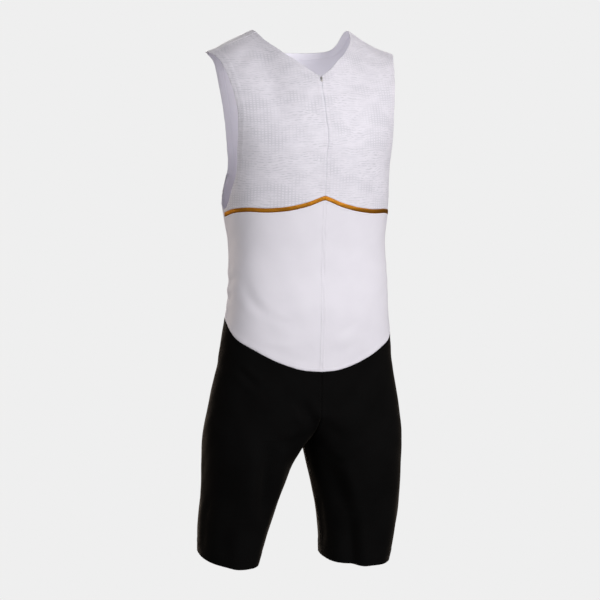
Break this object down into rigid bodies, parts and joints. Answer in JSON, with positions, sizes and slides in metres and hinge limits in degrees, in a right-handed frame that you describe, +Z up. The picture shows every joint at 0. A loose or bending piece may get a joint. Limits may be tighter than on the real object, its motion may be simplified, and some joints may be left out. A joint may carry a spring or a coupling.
{
  "type": "athletics bodysuit",
  "caption": "Sleeveless one-piece athletics bodysuit with a short front zip, a printed chest, a gold strip under it and black mid-thigh legs, hollow as when worn.",
  "frame": {"origin": "midway between the shoulders, at the height where they carry the suit", "axes": "+Z up, -Y out of the wearer's front, +X towards the wearer's left"},
  "size_m": [0.3665, 0.2305, 0.9489],
  "materials": {
    "printed_knit": "matte white knit with a fine grey print of short dashes",
    "white_elastane": "smooth stretch knit with a soft sheen",
    "gold_tape": "flat ochre stretch strip with a satin sheen",
    "black_elastane": "smooth black stretch knit with a soft sheen",
    "zip_tape": "woven tape",
    "dark_metal": "dark painted metal"
  },
  "bodies": {
    "root": {"back_body": "white_elastane", "front_body_left": "white_elastane", "front_body_right": "white_elastane", "front_yoke_left": "printed_knit", "front_yoke_right": "printed_knit", "leg_left": "black_elastane", "leg_right": "black_elastane", "trim_left": "gold_tape", "trim_right": "gold_tape", "zip_slider": "dark_metal", "zip_tape": "zip_tape"}
  },
  "joints": []
}
